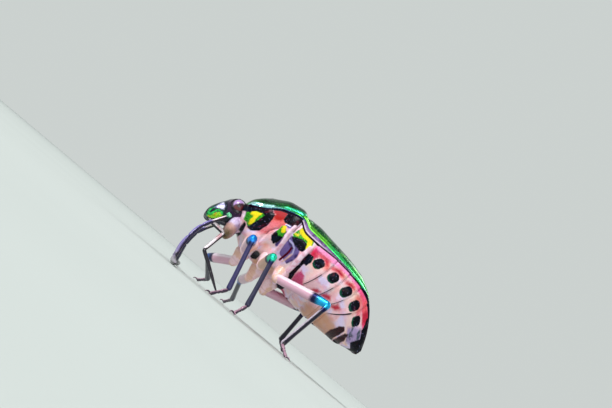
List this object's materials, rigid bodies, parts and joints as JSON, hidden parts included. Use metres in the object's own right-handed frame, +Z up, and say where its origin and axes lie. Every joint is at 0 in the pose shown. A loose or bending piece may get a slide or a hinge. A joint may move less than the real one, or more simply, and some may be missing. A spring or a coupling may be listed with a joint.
{
  "type": "lychee shield bug",
  "caption": "Life-size still model of a metallic green shield bug with a spotted pink underside, standing with its beak and feelers let down.",
  "frame": {"origin": "bottom centre of the whole model's box, on the floor that the feet stand on", "axes": "+Z up, the head points to -X and the left side to -Y"},
  "size_m": [0.013, 0.0158, 0.0077],
  "materials": {
    "green_shell": "metallic green shell with fine pits, black spots and blue-black edges",
    "head_shell": "metallic green, darker on the sides, pale underneath",
    "eye": "glossy dark brown with fine facets",
    "violet_wing": "smooth lilac edge of the folded forewing",
    "pink_thorax": "glossy pale pink with metallic green, yellow and blue-black patches",
    "pink_belly": "glossy pink and cream with round green-black spots and black seams",
    "pale_hip": "pale peach",
    "pale_femur": "pale pink-white with a metallic blue knee",
    "dark_shin": "dark metallic violet with fine hairs",
    "dark_feeler": "dark violet with a dull sheen",
    "pale_beak": "pale with dark edges"
  },
  "bodies": {
    "root": {"pronotum": "green_shell", "scutellum": "green_shell", "head": "head_shell", "eye_left": "eye", "eye_right": "eye", "forewing_left": "violet_wing", "forewing_right": "violet_wing", "prothorax": "pink_thorax", "mesothorax": "pink_thorax", "metathorax": "pink_thorax", "abdomen": "pink_belly", "tail_plates": "pink_belly", "hip_front_left": "pale_hip", "hip_mid_left": "pale_hip", "hip_hind_left": "pale_hip", "hip_front_right": "pale_hip", "hip_mid_right": "pale_hip", "hip_hind_right": "pale_hip", "femur_front_left": "pale_femur", "femur_mid_left": "pale_femur", "femur_hind_left": "pale_femur", "femur_front_right": "pale_femur", "femur_mid_right": "pale_femur", "femur_hind_right": "pale_femur", "tibia_front_left": "dark_shin", "tibia_mid_left": "dark_shin", "tibia_hind_left": "dark_shin", "tibia_front_right": "dark_shin", "tibia_mid_right": "dark_shin", "tibia_hind_right": "dark_shin", "tarsus_front_left": "dark_shin", "tarsus_mid_left": "dark_shin", "tarsus_hind_left": "dark_shin", "tarsus_front_right": "dark_shin", "tarsus_mid_right": "dark_shin", "tarsus_hind_right": "dark_shin", "feeler_left_1": "dark_feeler", "feeler_left_2": "dark_feeler", "feeler_left_3": "dark_feeler", "feeler_left_4": "dark_feeler", "feeler_left_5": "dark_feeler", "feeler_right_1": "dark_feeler", "feeler_right_2": "dark_feeler", "feeler_right_3": "dark_feeler", "feeler_right_4": "dark_feeler", "feeler_right_5": "dark_feeler", "beak_1": "pale_beak", "beak_2": "pale_beak", "beak_3": "pale_beak", "beak_4": "pale_beak"}
  },
  "joints": []
}
